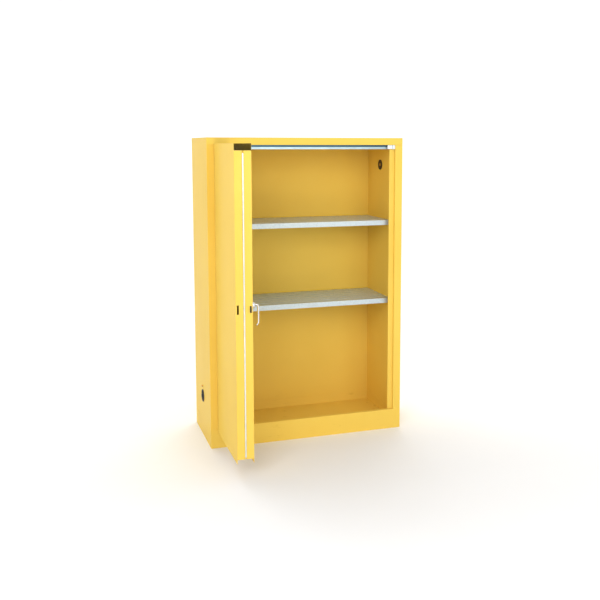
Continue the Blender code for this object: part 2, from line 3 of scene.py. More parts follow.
import bmesh
import bpy
from mathutils import Matrix, Vector
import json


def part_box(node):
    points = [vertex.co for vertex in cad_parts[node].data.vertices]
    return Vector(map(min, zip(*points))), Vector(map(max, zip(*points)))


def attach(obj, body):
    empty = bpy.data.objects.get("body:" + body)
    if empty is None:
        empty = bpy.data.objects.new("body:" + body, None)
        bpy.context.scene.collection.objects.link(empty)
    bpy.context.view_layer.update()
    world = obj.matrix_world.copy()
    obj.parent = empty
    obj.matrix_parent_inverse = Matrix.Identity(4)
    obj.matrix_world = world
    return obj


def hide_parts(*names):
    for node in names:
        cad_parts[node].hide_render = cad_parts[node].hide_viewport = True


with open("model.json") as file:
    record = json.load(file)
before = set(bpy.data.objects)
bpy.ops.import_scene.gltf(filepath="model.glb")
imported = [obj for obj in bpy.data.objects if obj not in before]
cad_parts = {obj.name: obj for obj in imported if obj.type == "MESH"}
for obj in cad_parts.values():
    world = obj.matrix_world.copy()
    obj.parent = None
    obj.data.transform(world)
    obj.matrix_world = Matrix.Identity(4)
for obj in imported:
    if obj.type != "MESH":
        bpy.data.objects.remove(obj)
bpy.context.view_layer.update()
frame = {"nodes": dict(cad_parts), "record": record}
NODES = frame["nodes"]

# ---- camera, in metres in the cabinet's frame ----
CAMERA_AT = Vector((-1.3123, -4.4613, 1.6106))
CAMERA_FORWARD = Vector((0.31893, 0.94092, -0.11384))
CAMERA_UP = Vector((0.03586, 0.10805, 0.99350))
CAMERA_LENS, CAMERA_SHIFT = 49.559, (-0.05, -0.10)

# ---- colours, linear ----
PAINT = (0.88, 0.61, 0.115)
PAINT_DEEP = (0.85, 0.575, 0.100)
PAINT_SCUFF = (0.50, 0.27, 0.035)
# painted shade for the trough above the door pans: a dark colour with a mottle
PAINTED_TROUGH_SHADE = (0.115, 0.078, 0.010)
PAINTED_TROUGH_SHADE_MOTTLE = (0.170, 0.120, 0.022)
BRIGHT_ZINC = (0.80, 0.84, 0.85)
ZINC = (0.34, 0.44, 0.47)
# painted shade for the track's upper half, where the header shades it
PAINTED_TRACK_SHADE = (0.055, 0.105, 0.135)
GALVANISED = (0.56, 0.64, 0.66)
GALVANISED_DARK = (0.51, 0.59, 0.61)
CHROME = (0.84, 0.85, 0.86)
CHROME_HAZE = (0.70, 0.71, 0.72)
PLASTIC = (0.010, 0.010, 0.011)
PLASTIC_WORN = (0.030, 0.030, 0.031)
NYLON = (0.86, 0.86, 0.82)
NYLON_GREY = (0.62, 0.63, 0.60)
BRASS = (0.80, 0.55, 0.14)
BRASS_DARK = (0.45, 0.28, 0.07)
FLOOR = (0.90, 0.90, 0.90)
FLOOR_DRIFT = 0.985     # how far the floor's tone drifts
WHITE = (1.0, 1.0, 1.0, 1.0)

# ---- grain of the materials: noise scales are per metre, heights in metres ----
PAINT_SPECULAR = 0.015
DRIFT_SCALE, HAZE_SCALE = 2.2, 3.0
PAINT_GLOSS = (0.28, 0.32)
PEEL_FINE, PEEL_COARSE = (420.0, 0.012, 0.0003), (120.0, 0.03, 0.0004)  # scale, strength, height
SCUFF_TOP = 0.16        # scuffs fade out at this height
SCUFF_STRETCH = (9.0, 9.0, 42.0)
SCUFF_COLOUR, SCUFF_ROUGH = 0.55, 0.25
# scale of the mottle in the trough's painted shade
TROUGH_SHADE_MOTTLE_SCALE = 45.0
DRAWN_LINES = (6.0, 260.0, 900.0)
ZINC_LIGHTER, GALVANISED_LIGHTER = 1.15, 1.1
SHADE_EDGE = 0.0008     # half the blur where the track's painted shade starts
SPANGLE = 95.0
SPANGLE_RIM = 0.06

# ---- stage, in metres ----
STAGE_HALF, STAGE_BACK, STAGE_RISE, STAGE_CURVE = 40.0, 5.0, 24.0, 1.6
CURVE_STEPS = 12
GLOW, GLOW_REACH = 0.38, (2.5, 9.0)
ROOM_BRIGHT_SIDE = (0.80, -0.60, 0.0)
ROOM_SPAN, ROOM_LEVELS = (-0.8, 0.3), (0.24, 0.75)
LAMPS = (               # name, place, aim, width and height, watts
    ("key", (-2.3, -3.7, 2.5), (0.0, -0.2, 0.9), (1.8, 1.8), 61),
    ("front_fill", (0.8, -5.0, 2.3), (0.0, -0.2, 0.9), (2.4, 2.0), 46),
    ("right_fill", (4.2, -0.6, 2.4), (0.0, 0.0, 0.9), (2.4, 2.4), 12),
    ("top_back", (0.0, 2.6, 4.2), (0.0, 1.0, 0.6), (5.0, 2.0), 85),
)


# ---------------------------------------------------------------- materials
class Look:
    """A Principled material under construction."""

    def __init__(self, name, roughness=0.5, metallic=0.0, **values):
        self.material = bpy.data.materials.new(name)
        self.material.use_nodes = True
        self.nodes = self.material.node_tree.nodes
        self.links = self.material.node_tree.links
        self.shader = self.nodes["Principled BSDF"]
        self.shader.inputs["Roughness"].default_value = roughness
        self.shader.inputs["Metallic"].default_value = metallic
        for key, value in values.items():
            self.shader.inputs[key.replace("_", " ")].default_value = value
        self.place = self.nodes.new("ShaderNodeTexCoord").outputs["Object"]

    def add(self, kind, links=None, values=None, **settings):
        made = self.nodes.new(kind)
        for key, value in settings.items():
            setattr(made, key, value)
        for key, value in (values or {}).items():
            made.inputs[key].default_value = value
        for key, source in (links or {}).items():
            self.links.new(source, made.inputs[key])
        return made

    def stretched(self, scale):
        return self.add("ShaderNodeMapping", {"Vector": self.place}, {"Scale": scale}).outputs[0]

    def noise(self, scale, detail=2.0, place=None, rough=0.5):
        links = {"Vector": place or self.place}
        values = {"Scale": scale, "Detail": detail, "Roughness": rough}
        return self.add("ShaderNodeTexNoise", links, values).outputs["Fac"]

    def cells(self, scale, output="Color", feature="F1"):
        made = self.add("ShaderNodeTexVoronoi", {"Vector": self.place}, {"Scale": scale},
                        feature=feature)
        return made.outputs[output]

    def ranged(self, source, low, high, out_low=0.0, out_high=1.0):
        values = {"From Min": low, "From Max": high, "To Min": out_low, "To Max": out_high}
        return self.add("ShaderNodeMapRange", {"Value": source}, values).outputs["Result"]

    def maths(self, operation, a, b):
        made = self.add("ShaderNodeMath", operation=operation)
        for socket, value in zip(made.inputs, (a, b)):
            if isinstance(value, (int, float)):
                socket.default_value = value
            else:
                self.links.new(value, socket)
        return made.outputs[0]

    def blend(self, factor, first, second):
        made = self.add("ShaderNodeMix", {"Factor": factor}, data_type="RGBA")
        for socket, value in ((made.inputs[6], first), (made.inputs[7], second)):
            if isinstance(value, tuple):
                socket.default_value = (*value, 1.0)
            else:
                self.links.new(value, socket)
        return made.outputs[2]

    def feed(self, name, source):
        self.links.new(source, self.shader.inputs[name])

    def bump(self, height, strength, distance, under=None):
        links = {"Height": height}
        if under:
            links["Normal"] = under
        values = {"Strength": strength, "Distance": distance}
        return self.add("ShaderNodeBump", links, values).outputs["Normal"]


def paint_look(name, shade_box=None):
    """Powder coat: orange peel, slow drift of tone, and scuffs low down.

    A box given here (low X, high X, low Z) is coloured dark as painted shade: the trough above the
    door pans.
    """
    look = Look(name, Specular_IOR_Level=PAINT_SPECULAR)
    drift = look.ranged(look.noise(DRIFT_SCALE, 3.0), 0.35, 0.70)
    colour = look.blend(drift, PAINT, PAINT_DEEP)
    spot = look.add("ShaderNodeSeparateXYZ", {"Vector": look.place}).outputs
    low = look.ranged(spot["Z"], SCUFF_TOP, 0.0)
    marks = look.noise(1.0, 6.0, look.stretched(SCUFF_STRETCH), 0.62)
    scuff = look.maths("MULTIPLY", look.ranged(marks, 0.62, 0.72), low)
    colour = look.blend(look.maths("MULTIPLY", scuff, SCUFF_COLOUR), colour, PAINT_SCUFF)
    # painted shade: the trough above the door pans is coloured dark, with a mottle, where shade
    # falls
    if shade_box:
        inside = look.maths("GREATER_THAN", spot["Z"], shade_box[2])
        inside = look.maths("MULTIPLY", inside, look.maths("GREATER_THAN", spot["X"], shade_box[0]))
        inside = look.maths("MULTIPLY", inside, look.maths("LESS_THAN", spot["X"], shade_box[1]))
        trough_shade_colour = look.blend(look.ranged(look.noise(TROUGH_SHADE_MOTTLE_SCALE, 4.0), 0.3, 0.7), PAINTED_TROUGH_SHADE, PAINTED_TROUGH_SHADE_MOTTLE)
        colour = look.blend(inside, colour, trough_shade_colour)
    look.feed("Base Color", colour)
    haze = look.ranged(look.noise(HAZE_SCALE, 0.0), 0.2, 0.8, *PAINT_GLOSS)
    look.feed("Roughness", look.maths("ADD", haze, look.maths("MULTIPLY", scuff, SCUFF_ROUGH)))
    peel = look.bump(look.noise(PEEL_FINE[0], 2.0), *PEEL_FINE[1:])
    look.feed("Normal", look.bump(look.noise(PEEL_COARSE[0], 1.0), *PEEL_COARSE[1:], peel))
    return look.material


def zinc_look(name, tone, shade_above_height=None):
    """Zinc plate with drawn lines, and painted shade darkening the upper half where asked."""
    look = Look(name, metallic=1.0, Anisotropic=0.4)
    lines = look.noise(1.0, 5.0, look.stretched(DRAWN_LINES), 0.6)
    cloud = look.noise(28.0, 4.0)
    colour = look.blend(look.ranged(cloud, 0.3, 0.7), tone, tuple(ZINC_LIGHTER * c for c in tone))
    if shade_above_height is not None:
        # painted shade: above the given height the colour turns dark, standing in for the shadow
        # under the header
        height = look.add("ShaderNodeSeparateXYZ", {"Vector": look.place}).outputs["Z"]
        upper = look.ranged(height, shade_above_height - SHADE_EDGE, shade_above_height + SHADE_EDGE)
        colour = look.blend(upper, colour, PAINTED_TRACK_SHADE)
    look.feed("Base Color", colour)
    look.feed("Roughness", look.ranged(lines, 0.3, 0.7, 0.26, 0.46))
    look.feed("Normal", look.bump(lines, 0.12, 0.0002))
    return look.material


def galvanised_look(name):
    """Hot-dip spangle: crystals of different tone and gloss, over fine grain."""
    look = Look(name, metallic=0.45)
    crystal = look.add("ShaderNodeSeparateColor", {"Color": look.cells(SPANGLE)}).outputs[0]
    rim = look.ranged(look.cells(SPANGLE, "Distance", "DISTANCE_TO_EDGE"), 0.0, SPANGLE_RIM)
    tone = look.blend(crystal, GALVANISED, GALVANISED_DARK)
    edge_tone = tuple(GALVANISED_LIGHTER * c for c in GALVANISED)
    colour = look.blend(look.maths("MULTIPLY", rim, 0.85), edge_tone, tone)
    look.feed("Base Color", colour)
    look.feed("Roughness", look.ranged(crystal, 0.0, 1.0, 0.30, 0.50))
    grain = look.bump(look.noise(700.0, 2.0), 0.10, 0.0003)
    look.feed("Normal", look.bump(crystal, 0.06, 0.0003, grain))
    return look.material


def chrome_look(name):
    look = Look(name, metallic=1.0)
    haze = look.noise(60.0, 5.0)
    look.feed("Base Color", look.blend(look.ranged(haze, 0.45, 0.75), CHROME, CHROME_HAZE))
    look.feed("Roughness", look.ranged(haze, 0.3, 0.8, 0.10, 0.24))
    look.feed("Normal", look.bump(look.noise(900.0), 0.03, 0.0001))
    return look.material


def plastic_look(name):
    look = Look(name, Specular_IOR_Level=0.45)
    wear = look.ranged(look.noise(40.0, 5.0), 0.5, 0.75)
    look.feed("Base Color", look.blend(wear, PLASTIC, PLASTIC_WORN))
    look.feed("Roughness", look.ranged(look.noise(90.0, 3.0), 0.3, 0.7, 0.38, 0.56))
    look.feed("Normal", look.bump(look.noise(1500.0), 0.20, 0.0002))
    return look.material


def nylon_look(name):
    look = Look(name, Subsurface_Weight=0.15, Subsurface_Scale=0.004)
    wear = look.ranged(look.noise(70.0, 4.0), 0.5, 0.8)
    look.feed("Base Color", look.blend(wear, NYLON, NYLON_GREY))
    look.feed("Roughness", look.ranged(look.noise(120.0), 0.3, 0.7, 0.34, 0.48))
    look.feed("Normal", look.bump(look.noise(900.0), 0.08, 0.0002))
    return look.material


def brass_look(name):
    look = Look(name, metallic=1.0)
    age = look.ranged(look.noise(80.0, 5.0), 0.45, 0.72)
    look.feed("Base Color", look.blend(age, BRASS, BRASS_DARK))
    look.feed("Roughness", look.ranged(age, 0.0, 1.0, 0.25, 0.5))
    look.feed("Normal", look.bump(look.noise(1100.0), 0.08, 0.0002))
    return look.material


def floor_look(name):
    look = Look(name, Specular_IOR_Level=0.2)
    drift = look.ranged(look.noise(1.5, 3.0), 0.3, 0.7)
    look.feed("Base Color", look.blend(drift, FLOOR, tuple(FLOOR_DRIFT * c for c in FLOOR)))
    look.feed("Roughness", look.ranged(look.noise(9.0), 0.3, 0.7, 0.70, 0.80))
    # far off, the paper glows a little, so that it stays white where the lamps fade
    far = look.add("ShaderNodeVectorMath", {0: look.place}, operation="LENGTH").outputs["Value"]
    look.feed("Emission Strength", look.ranged(far, *GLOW_REACH, 0.0, GLOW))
    look.shader.inputs["Emission Color"].default_value = WHITE
    return look.material


TRACK_LOW, TRACK_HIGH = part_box("door_track")
LOOKS = {
    "yellow_paint": paint_look("yellow_powder_coat"),
    "zinc": zinc_look("zinc_plate", BRIGHT_ZINC),
    "galvanised": galvanised_look("galvanised_sheet"),
    "chrome": chrome_look("polished_chrome"),
    "black_plastic": plastic_look("black_moulding"),
    "nylon": nylon_look("natural_nylon"),
    "brass": brass_look("plain_brass"),
}
# the track gets painted shade from its middle height up
TRACK_LOOK = zinc_look("track_plate", ZINC, (TRACK_LOW.z + TRACK_HIGH.z) / 2)
SKIN_A, SKIN_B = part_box("leaf_a_skin"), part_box("leaf_b_skin")
SHEET = 0.0012          # door sheet
TROUGH_SHADE_DEPTH = 0.0005   # how far below the pans' tops the painted shade starts
# the box of the door trough that gets painted shade
TROUGH_SHADE_BOX = (SKIN_A[0].x + SHEET / 2, SKIN_B[1].x - SHEET / 2,
          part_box("leaf_a_pan")[1].z - TROUGH_SHADE_DEPTH)
DOOR_LOOK = paint_look("door_powder_coat_trough_shade", TROUGH_SHADE_BOX)
SLOT_OF = {row["node"]: row["material_slot"] for row in frame["record"]["subparts"]}


def dress_nodes():
    """Gives every CAD node the look of its material slot."""
    for name, obj in NODES.items():
        look = LOOKS[SLOT_OF[name]]
        if name == "door_track":
            look = TRACK_LOOK
        elif name.startswith("leaf_"):
            look = DOOR_LOOK
        for slot in obj.material_slots:
            slot.material = look


dress_nodes()


# ---------------------------------------------------------------- piece making
def piece(name, bm, body, slot, replaced, smooth=40.0):
    """A bmesh in frame coordinates as a piece that rides on a body."""
    mesh = bpy.data.meshes.new(name)
    bmesh.ops.recalc_face_normals(bm, faces=bm.faces)
    bm.to_mesh(mesh)
    bm.free()
    mesh.materials.append(LOOKS[slot])
    mesh.shade_smooth()
    mesh.set_sharp_from_angle(angle=math.radians(smooth))
    obj = bpy.data.objects.new(name, mesh)
    bpy.context.scene.collection.objects.link(obj)
    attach(obj, body)
    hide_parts(*replaced)


def add_box(bm, low, high, soft=0.0):
    """A box between two corners, with its edges rounded by soft."""
    low, high = Vector(low), Vector(high)
    part = bmesh.new()
    place = Matrix.Translation((low + high) / 2) @ Matrix.Diagonal((*(high - low), 1))
    bmesh.ops.create_cube(part, size=1, matrix=place)
    if soft:
        bmesh.ops.bevel(part, geom=list(part.edges), offset=soft, segments=2, profile=0.5,
                        affect="EDGES")
    merge(bm, part)


def merge(bm, part, matrix=None):
    """Moves a part's faces into bm."""
    if matrix is not None:
        part.transform(matrix)
    mesh = bpy.data.meshes.new("part")
    part.to_mesh(mesh)
    part.free()
    bm.from_mesh(mesh)
    bpy.data.meshes.remove(mesh)


def add_turned(bm, profile, centre, axis, sides, lobes=0, lobe_depth=0.0, closed=False):
    """A profile of (radius, height) turned about an axis through a point. Lobes scallop its rim."""
    part = bmesh.new()
    widest = max(r for r, _ in profile)
    rings = []
    for radius, height in profile:
        if radius == 0:
            rings.append([part.verts.new((0, 0, height))])
            continue
        ring = []
        for i in range(sides):
            angle = 2 * math.pi * i / sides
            r = radius
            if lobes and radius > 0.8 * widest:
                r -= lobe_depth * (0.5 - 0.5 * math.cos(lobes * angle))
            ring.append(part.verts.new((r * math.cos(angle), r * math.sin(angle), height)))
        rings.append(ring)
    pairs = list(zip(rings, rings[1:]))
    if closed:
        pairs.append((rings[-1], rings[0]))
    for a, b in pairs:
        for i in range(sides):
            j = (i + 1) % sides
            corners = [a[i % len(a)], a[j % len(a)], b[j % len(b)], b[i % len(b)]]
            unique = list(dict.fromkeys(corners))
            if len(unique) > 2:
                part.faces.new(unique)
    bmesh.ops.recalc_face_normals(part, faces=part.faces)
    turn = Vector(axis).to_track_quat("Z", "Y").to_matrix().to_4x4()
    merge(bm, part, Matrix.Translation(centre) @ turn)


def add_tube(bm, path, radii, sides):
    """A closed tube along a path of points, with a radius at each."""
    part = bmesh.new()
    side = None
    rings = []
    for i, point in enumerate(path):
        ahead = path[min(i + 1, len(path) - 1)] - path[max(i - 1, 0)]
        ahead.normalize()
        if side is None:
            side = ahead.orthogonal().normalized()
        side = (side - ahead * side.dot(ahead)).normalized()
        other = ahead.cross(side)
        ring = []
        for k in range(sides):
            angle = 2 * math.pi * k / sides
            ring.append(part.verts.new(point + radii[i] * (side * math.cos(angle)
                                                           + other * math.sin(angle))))
        rings.append(ring)
    for a, b in zip(rings, rings[1:]):
        for k in range(sides):
            m = (k + 1) % sides
            part.faces.new((a[k], a[m], b[m], b[k]))
    part.faces.new(rings[0])
    part.faces.new(rings[-1])
    bmesh.ops.recalc_face_normals(part, faces=part.faces)
    merge(bm, part)


# ---------------------------------------------------------------- hinges
KNUCKLE = 0.0255        # pitch of the knuckles
KNUCKLE_GAP = 0.0004
KNUCKLE_SIDES = 14
BARREL_EDGE = 0.0005
JAMB_BARREL = 0.003     # radius
PIN_PROUD = 0.002       # the pins stand out this far past the knuckles
HINGE_EDGE = 0.0002     # rounding of the leaves' edges
FOLD_LEAF = (0.0004, 0.0014)        # the fold hinge's leaf, from the pin's middle
FOLD_TAB = (-0.001, 0.0015)         # its knuckles' tabs, from the barrel's rim
FOLD_LEAF_START = 0.0006
POST_LEAF, POST_TAB = 0.001, 0.0013     # thickness of the jamb hinge's fixed leaf and tabs
POST_LEAF_START = 0.0023
DOOR_LEAF_HALF = 0.0005
DOOR_LEAF_START = 0.0004
DOOR_TAB = (-0.001, 0.0008)


def knuckle_row(bm, centre, radius, low, high, first):
    """Every second knuckle of a long hinge, and where each one is."""
    count = round((high - low) / KNUCKLE)
    pitch = (high - low) / count
    spans = []
    for i in range(first, count, 2):
        bottom, top = low + pitch * i + KNUCKLE_GAP / 2, low + pitch * (i + 1) - KNUCKLE_GAP / 2
        half = (top - bottom) / 2
        edge = radius - BARREL_EDGE
        profile = [(radius * 0.5, -half), (edge, -half), (radius, -half + BARREL_EDGE),
                   (radius, half - BARREL_EDGE), (edge, half), (radius * 0.5, half)]
        add_turned(bm, profile, (*centre, (bottom + top) / 2), (0, 0, 1), KNUCKLE_SIDES,
                   closed=True)
        spans.append((bottom, top))
    return spans


def fold_hinge():
    """The hinge between the leaves, with the fine knuckles of a long hinge."""
    pin_low, pin_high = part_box("fold_hinge_pin")
    x, y = (pin_low.x + pin_high.x) / 2, (pin_low.y + pin_high.y) / 2
    for letter, side, first in (("a", -1, 0), ("b", 1, 1)):
        node = f"fold_hinge_leaf_{letter}"
        low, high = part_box(node)
        barrel = (high.x - low.x) / 2
        near, far = sorted(x + side * edge for edge in FOLD_LEAF)
        bm = bmesh.new()
        z_low, z_high = pin_low.z + PIN_PROUD, pin_high.z - PIN_PROUD
        rim = y + barrel
        for bottom, top in knuckle_row(bm, (x, y), barrel, z_low, z_high, first):
            add_box(bm, (near, rim + FOLD_TAB[0], bottom), (far, rim + FOLD_TAB[1], top))
        add_box(bm, (near, rim + FOLD_LEAF_START, z_low), (far, high.y, z_high), HINGE_EDGE)
        piece(f"fold_hinge_fine_{letter}", bm, f"leaf_{letter}", "zinc", [node])


def jamb_hinge():
    """The hinge between the post and leaf A."""
    pin_low, pin_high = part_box("jamb_hinge_pin")
    x, y = (pin_low.x + pin_high.x) / 2, (pin_low.y + pin_high.y) / 2
    z_low, z_high = pin_low.z + PIN_PROUD, pin_high.z - PIN_PROUD
    rim = y - JAMB_BARREL
    for node, body, first in (("jamb_hinge_post_leaf", "cabinet", 0),
                              ("jamb_hinge_door_leaf", "leaf_a", 1)):
        low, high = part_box(node)
        bm = bmesh.new()
        spans = knuckle_row(bm, (x, y), JAMB_BARREL, z_low, z_high, first)
        if body == "cabinet":
            add_box(bm, (low.x, y + POST_LEAF_START, z_low), (low.x + POST_LEAF, high.y, z_high),
                    HINGE_EDGE)
            for bottom, top in spans:
                add_box(bm, (low.x, y, bottom), (low.x + POST_TAB, y + JAMB_BARREL, top))
        else:
            left, right = x - DOOR_LEAF_HALF, x + DOOR_LEAF_HALF
            add_box(bm, (left, low.y, z_low), (right, rim - DOOR_LEAF_START, z_high), HINGE_EDGE)
            for bottom, top in spans:
                add_box(bm, (left, rim + DOOR_TAB[0], bottom), (right, rim + DOOR_TAB[1], top))
        piece(node + "_fine", bm, body, "zinc", [node])


# ---------------------------------------------------------------- vents and earthing stud
CAP_HEAD = 0.0085       # height of the cap's head
CAP_SIDES, CAP_LOBES, CAP_LOBE_DEPTH = 72, 24, 0.0011
PLUG_INSET = 0.0115     # the plug is this much narrower than the cap
CAP_RIM = 0.0022
CAP_RIBS = 12
RIB_START, RIB_END, RIB_HALF, RIB_TALL, RIB_EDGE = 0.0120, 0.0060, 0.0009, 0.0024, 0.0003
BOSS = ((0.0135, 0.0006), (0.0125, 0.0010))     # foot of the raised ring: radius, height
BOSS_TOP = ((0.0115, -0.0006), (0.0105, 0.0), (0.0045, 0.0), (0.0040, -0.0022), (0, -0.0022))
RIM_WALL = 0.0022
RIM_SIDES, HUB_SIDES = 40, 28
WIRE_PITCH, WIRE, WIRE_SIDES = 0.0019, 0.00034, 5
WIRE_TUCK = 0.001       # the wires end this far inside the rim's outside
WIRE_WAVE = 1.1         # wave of a wire, in wire radii
HUB = ((0.0030, -0.0045), (0.0086, -0.0038), (0.0086, -0.0012), (0.0078, -0.0006),
       (0.0030, -0.0004), (0, -0.0014))
THREAD, THREAD_DEPTH = 0.0008, 0.0004
THREAD_CREST, THREAD_ROOT = 0.0003, 0.0006
STUD_END = 0.0012       # the stud's last, unthreaded part
STUD_SIDES, WASHER_SIDES = 20, 32
NUT_BORE, WASHER_SHARE, NUT_CHAMFER, NUT_EDGE = 0.0034, 0.28, 0.93, 0.0005
WASHER_GAP = 0.0001


def vent_cap(side, out):
    """A screw-in vent plug: scalloped rim, raised ring, ribs and a spanner slot."""
    node = f"vent_cap_{side}"
    low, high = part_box(node)
    radius = (high.y - low.y) / 2
    face = low.x if out < 0 else high.x
    inner = high.x if out < 0 else low.x
    centre = Vector((inner, (low.y + high.y) / 2, (low.z + high.z) / 2))
    tall = abs(face - inner)
    plug = tall - CAP_HEAD
    rim = plug + CAP_RIM
    bm = bmesh.new()
    profile = [(0, 0), (radius - PLUG_INSET, 0), (radius - PLUG_INSET, plug),
               (radius - 0.0006, plug), (radius, plug + 0.0006), (radius, rim),
               (radius - 0.0012, rim + 0.0014), (radius - 0.0055, rim + 0.0020),
               (radius - 0.0065, rim + 0.0006)]
    profile += [(r, rim + height) for r, height in BOSS]
    profile += [(r, tall + height) for r, height in BOSS_TOP]
    add_turned(bm, profile, centre, (out, 0, 0), CAP_SIDES, lobes=CAP_LOBES,
               lobe_depth=CAP_LOBE_DEPTH)
    turn = Vector((out, 0, 0)).to_track_quat("Z", "Y").to_matrix().to_4x4()
    for i in range(CAP_RIBS):
        angle = 2 * math.pi * i / CAP_RIBS
        rib = bmesh.new()
        add_box(rib, (RIB_START, -RIB_HALF, rim), (radius - RIB_END, RIB_HALF, rim + RIB_TALL),
                RIB_EDGE)
        merge(bm, rib, Matrix.Translation(centre) @ turn @ Matrix.Rotation(angle, 4, "Z"))
    piece(node + "_fine", bm, "cabinet", "black_plastic", [node])


def arrester(side):
    """A flame arrester: a rimmed disc of woven wire, with a hub in the inner flange's eye."""
    node = f"flame_arrester_{side}"
    low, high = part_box(node)
    centre = (low + high) / 2
    radius, half = (high.y - low.y) / 2, (high.x - low.x) / 2
    bm = bmesh.new()
    ring = [(radius, half), (radius, -half), (radius - RIM_WALL, -half), (radius - RIM_WALL, half)]
    add_turned(bm, ring, centre, (1, 0, 0), RIM_SIDES, closed=True)
    reach = radius - WIRE_TUCK
    count = int(reach / WIRE_PITCH)
    for i in range(-count, count + 1):
        across = i * WIRE_PITCH
        length = math.sqrt(max(reach ** 2 - across ** 2, 0))
        steps = max(4, int(length / WIRE_PITCH) * 2)
        for way in (0, 1):
            path = []
            for k in range(steps + 1):
                along = -length + 2 * length * k / steps
                phase = math.pi * (along / WIRE_PITCH + i + way)
                sway = WIRE * WIRE_WAVE * math.cos(phase)
                spot = (across, along) if way else (along, across)
                path.append(centre + Vector((sway, *spot)))
            add_tube(bm, path, [WIRE] * len(path), WIRE_SIDES)
    duct_low, duct_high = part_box(f"vent_duct_{side}")
    inward = 1 if side == "left" else -1
    flange = duct_high.x if inward > 0 else duct_low.x
    hub = abs(flange - centre.x)
    profile = [(0, 0), (HUB[0][0], 0)] + [(r, hub + height) for r, height in HUB]
    add_turned(bm, profile, centre, (inward, 0, 0), HUB_SIDES)
    piece(node + "_fine", bm, "cabinet", "brass", [node])


def earth_stud():
    """A threaded stud, and its nut on a washer."""
    low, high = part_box("earth_stud")
    y, z = (low.y + high.y) / 2, (low.z + high.z) / 2
    radius, length = (high.y - low.y) / 2, high.x - low.x
    bm = bmesh.new()
    profile = [(0, 0), (radius, 0)]
    turns = int((length - STUD_END) / THREAD)
    for i in range(turns):
        profile += [(radius, i * THREAD + THREAD_CREST),
                    (radius - THREAD_DEPTH, i * THREAD + THREAD_ROOT)]
    profile += [(radius - STUD_END / 2, length - 0.0004), (radius - STUD_END, length), (0, length)]
    add_turned(bm, profile, (high.x, y, z), (-1, 0, 0), STUD_SIDES)
    piece("earth_stud_fine", bm, "cabinet", "brass", ["earth_stud"])
    low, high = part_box("earth_nut")
    outer = (high.y - low.y) / 2
    across = max(outer, (high.z - low.z) / 2)
    bm = bmesh.new()
    tall = high.x - low.x
    washer = tall * WASHER_SHARE
    narrow = across * NUT_CHAMFER
    hexagon = [(NUT_BORE, washer), (narrow, washer), (across, washer + NUT_EDGE),
               (across, tall - NUT_EDGE), (narrow, tall), (NUT_BORE, tall)]
    add_turned(bm, hexagon, (high.x, y, z), (-1, 0, 0), 6, closed=True)
    flat = [(NUT_BORE, 0), (outer, 0), (outer, washer - WASHER_GAP),
            (NUT_BORE, washer - WASHER_GAP)]
    add_turned(bm, flat, (high.x, y, z), (-1, 0, 0), WASHER_SIDES, closed=True)
    piece("earth_nut_fine", bm, "cabinet", "brass", ["earth_nut"], smooth=25)


# ---------------------------------------------------------------- handle
LEVER_START = 0.0003    # gap between the rose's face and the lever
TIP_IN, TIP_DROP, TIP_CUT = 0.011, 0.014, 0.004
LEVER_BEND, BEND_SHARE, BEND_STEPS = 0.011, 0.45, 8
LEVER_STEPS, LEVER_SIDES = 56, 20
NECK, GRIP_START, GRIP_SPAN = 0.80, 0.30, 0.35      # the lever is thinner up to its grip
LEVER_SKIN = 0.985      # keeps its facets inside the lever's box
TIP_LEAST = 0.02
COLLAR_INNER, COLLAR_LENGTH = 0.75, 0.0048
COLLAR_SIDES, ROSE_SIDES = 24, 48
ROSE_BORE = 0.0056


def rounded_path(corners, bend):
    """Points along straight runs in X and Z, with each inner corner bent to a curve."""
    path = [Vector((corners[0][0], 0, corners[0][1]))]
    for last, corner, following in zip(corners, corners[1:], corners[2:]):
        here = Vector((corner[0], 0, corner[1]))
        before = Vector((last[0], 0, last[1])) - here
        after = Vector((following[0], 0, following[1])) - here
        reach = min(bend, before.length * BEND_SHARE, after.length * BEND_SHARE)
        a, b = here + before.normalized() * reach, here + after.normalized() * reach
        for k in range(BEND_STEPS + 1):
            f = k / BEND_STEPS
            path.append(a * (1 - f) ** 2 + here * 2 * f * (1 - f) + b * f ** 2)
    path.append(Vector((corners[-1][0], 0, corners[-1][1])))
    return path


def even_points(path, count):
    """The path's length, and count + 1 evenly spaced (distance, point) pairs on it."""
    lengths = [0.0]
    for a, b in zip(path, path[1:]):
        lengths.append(lengths[-1] + (b - a).length)
    total = lengths[-1]
    spots = []
    for k in range(count + 1):
        s = total * k / count
        i = max(j for j in range(len(lengths)) if lengths[j] <= s + 1e-9)
        i = min(i, len(path) - 2)
        f = (s - lengths[i]) / max(lengths[i + 1] - lengths[i], 1e-9)
        spots.append((s, path[i].lerp(path[i + 1], f)))
    return total, spots


def lever():
    """A bent lever: swaged collar, tapered grip and rounded tip."""
    low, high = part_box("handle_lever")
    radius = (high.y - low.y) / 2
    y = (low.y + high.y) / 2
    top = high.z - radius
    out = high.x - radius
    foot = low.z
    corners = [(low.x + LEVER_START, top), (out, top), (out, foot + TIP_DROP + TIP_CUT),
               (out - TIP_IN, foot + TIP_CUT)]
    total, spots = even_points(rounded_path(corners, LEVER_BEND), LEVER_STEPS)
    points, radii = [], []
    for s, point in spots:
        points.append(Vector((point.x, y, point.z)))
        grip = min(1.0, max(0.0, (s / total - GRIP_START) / GRIP_SPAN))
        r = radius * (NECK + (1 - NECK) * grip)
        left = total - s
        if left < radius:
            r *= math.sqrt(max(TIP_LEAST, 1 - (1 - left / radius) ** 2))
        radii.append(r * LEVER_SKIN)
    bm = bmesh.new()
    add_tube(bm, points, radii, LEVER_SIDES)
    rose_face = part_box("handle_rose")[1].x
    inner = radius * COLLAR_INNER
    collar = [(inner, 0.0002), (radius - 0.0004, 0.0002), (radius - 0.00005, 0.0007),
              (radius - 0.00005, 0.0040), (radius - 0.0006, COLLAR_LENGTH),
              (inner, COLLAR_LENGTH)]
    add_turned(bm, collar, (rose_face, y, top), (1, 0, 0), COLLAR_SIDES, closed=True)
    piece("handle_lever_fine", bm, "handle", "chrome", ["handle_lever"])


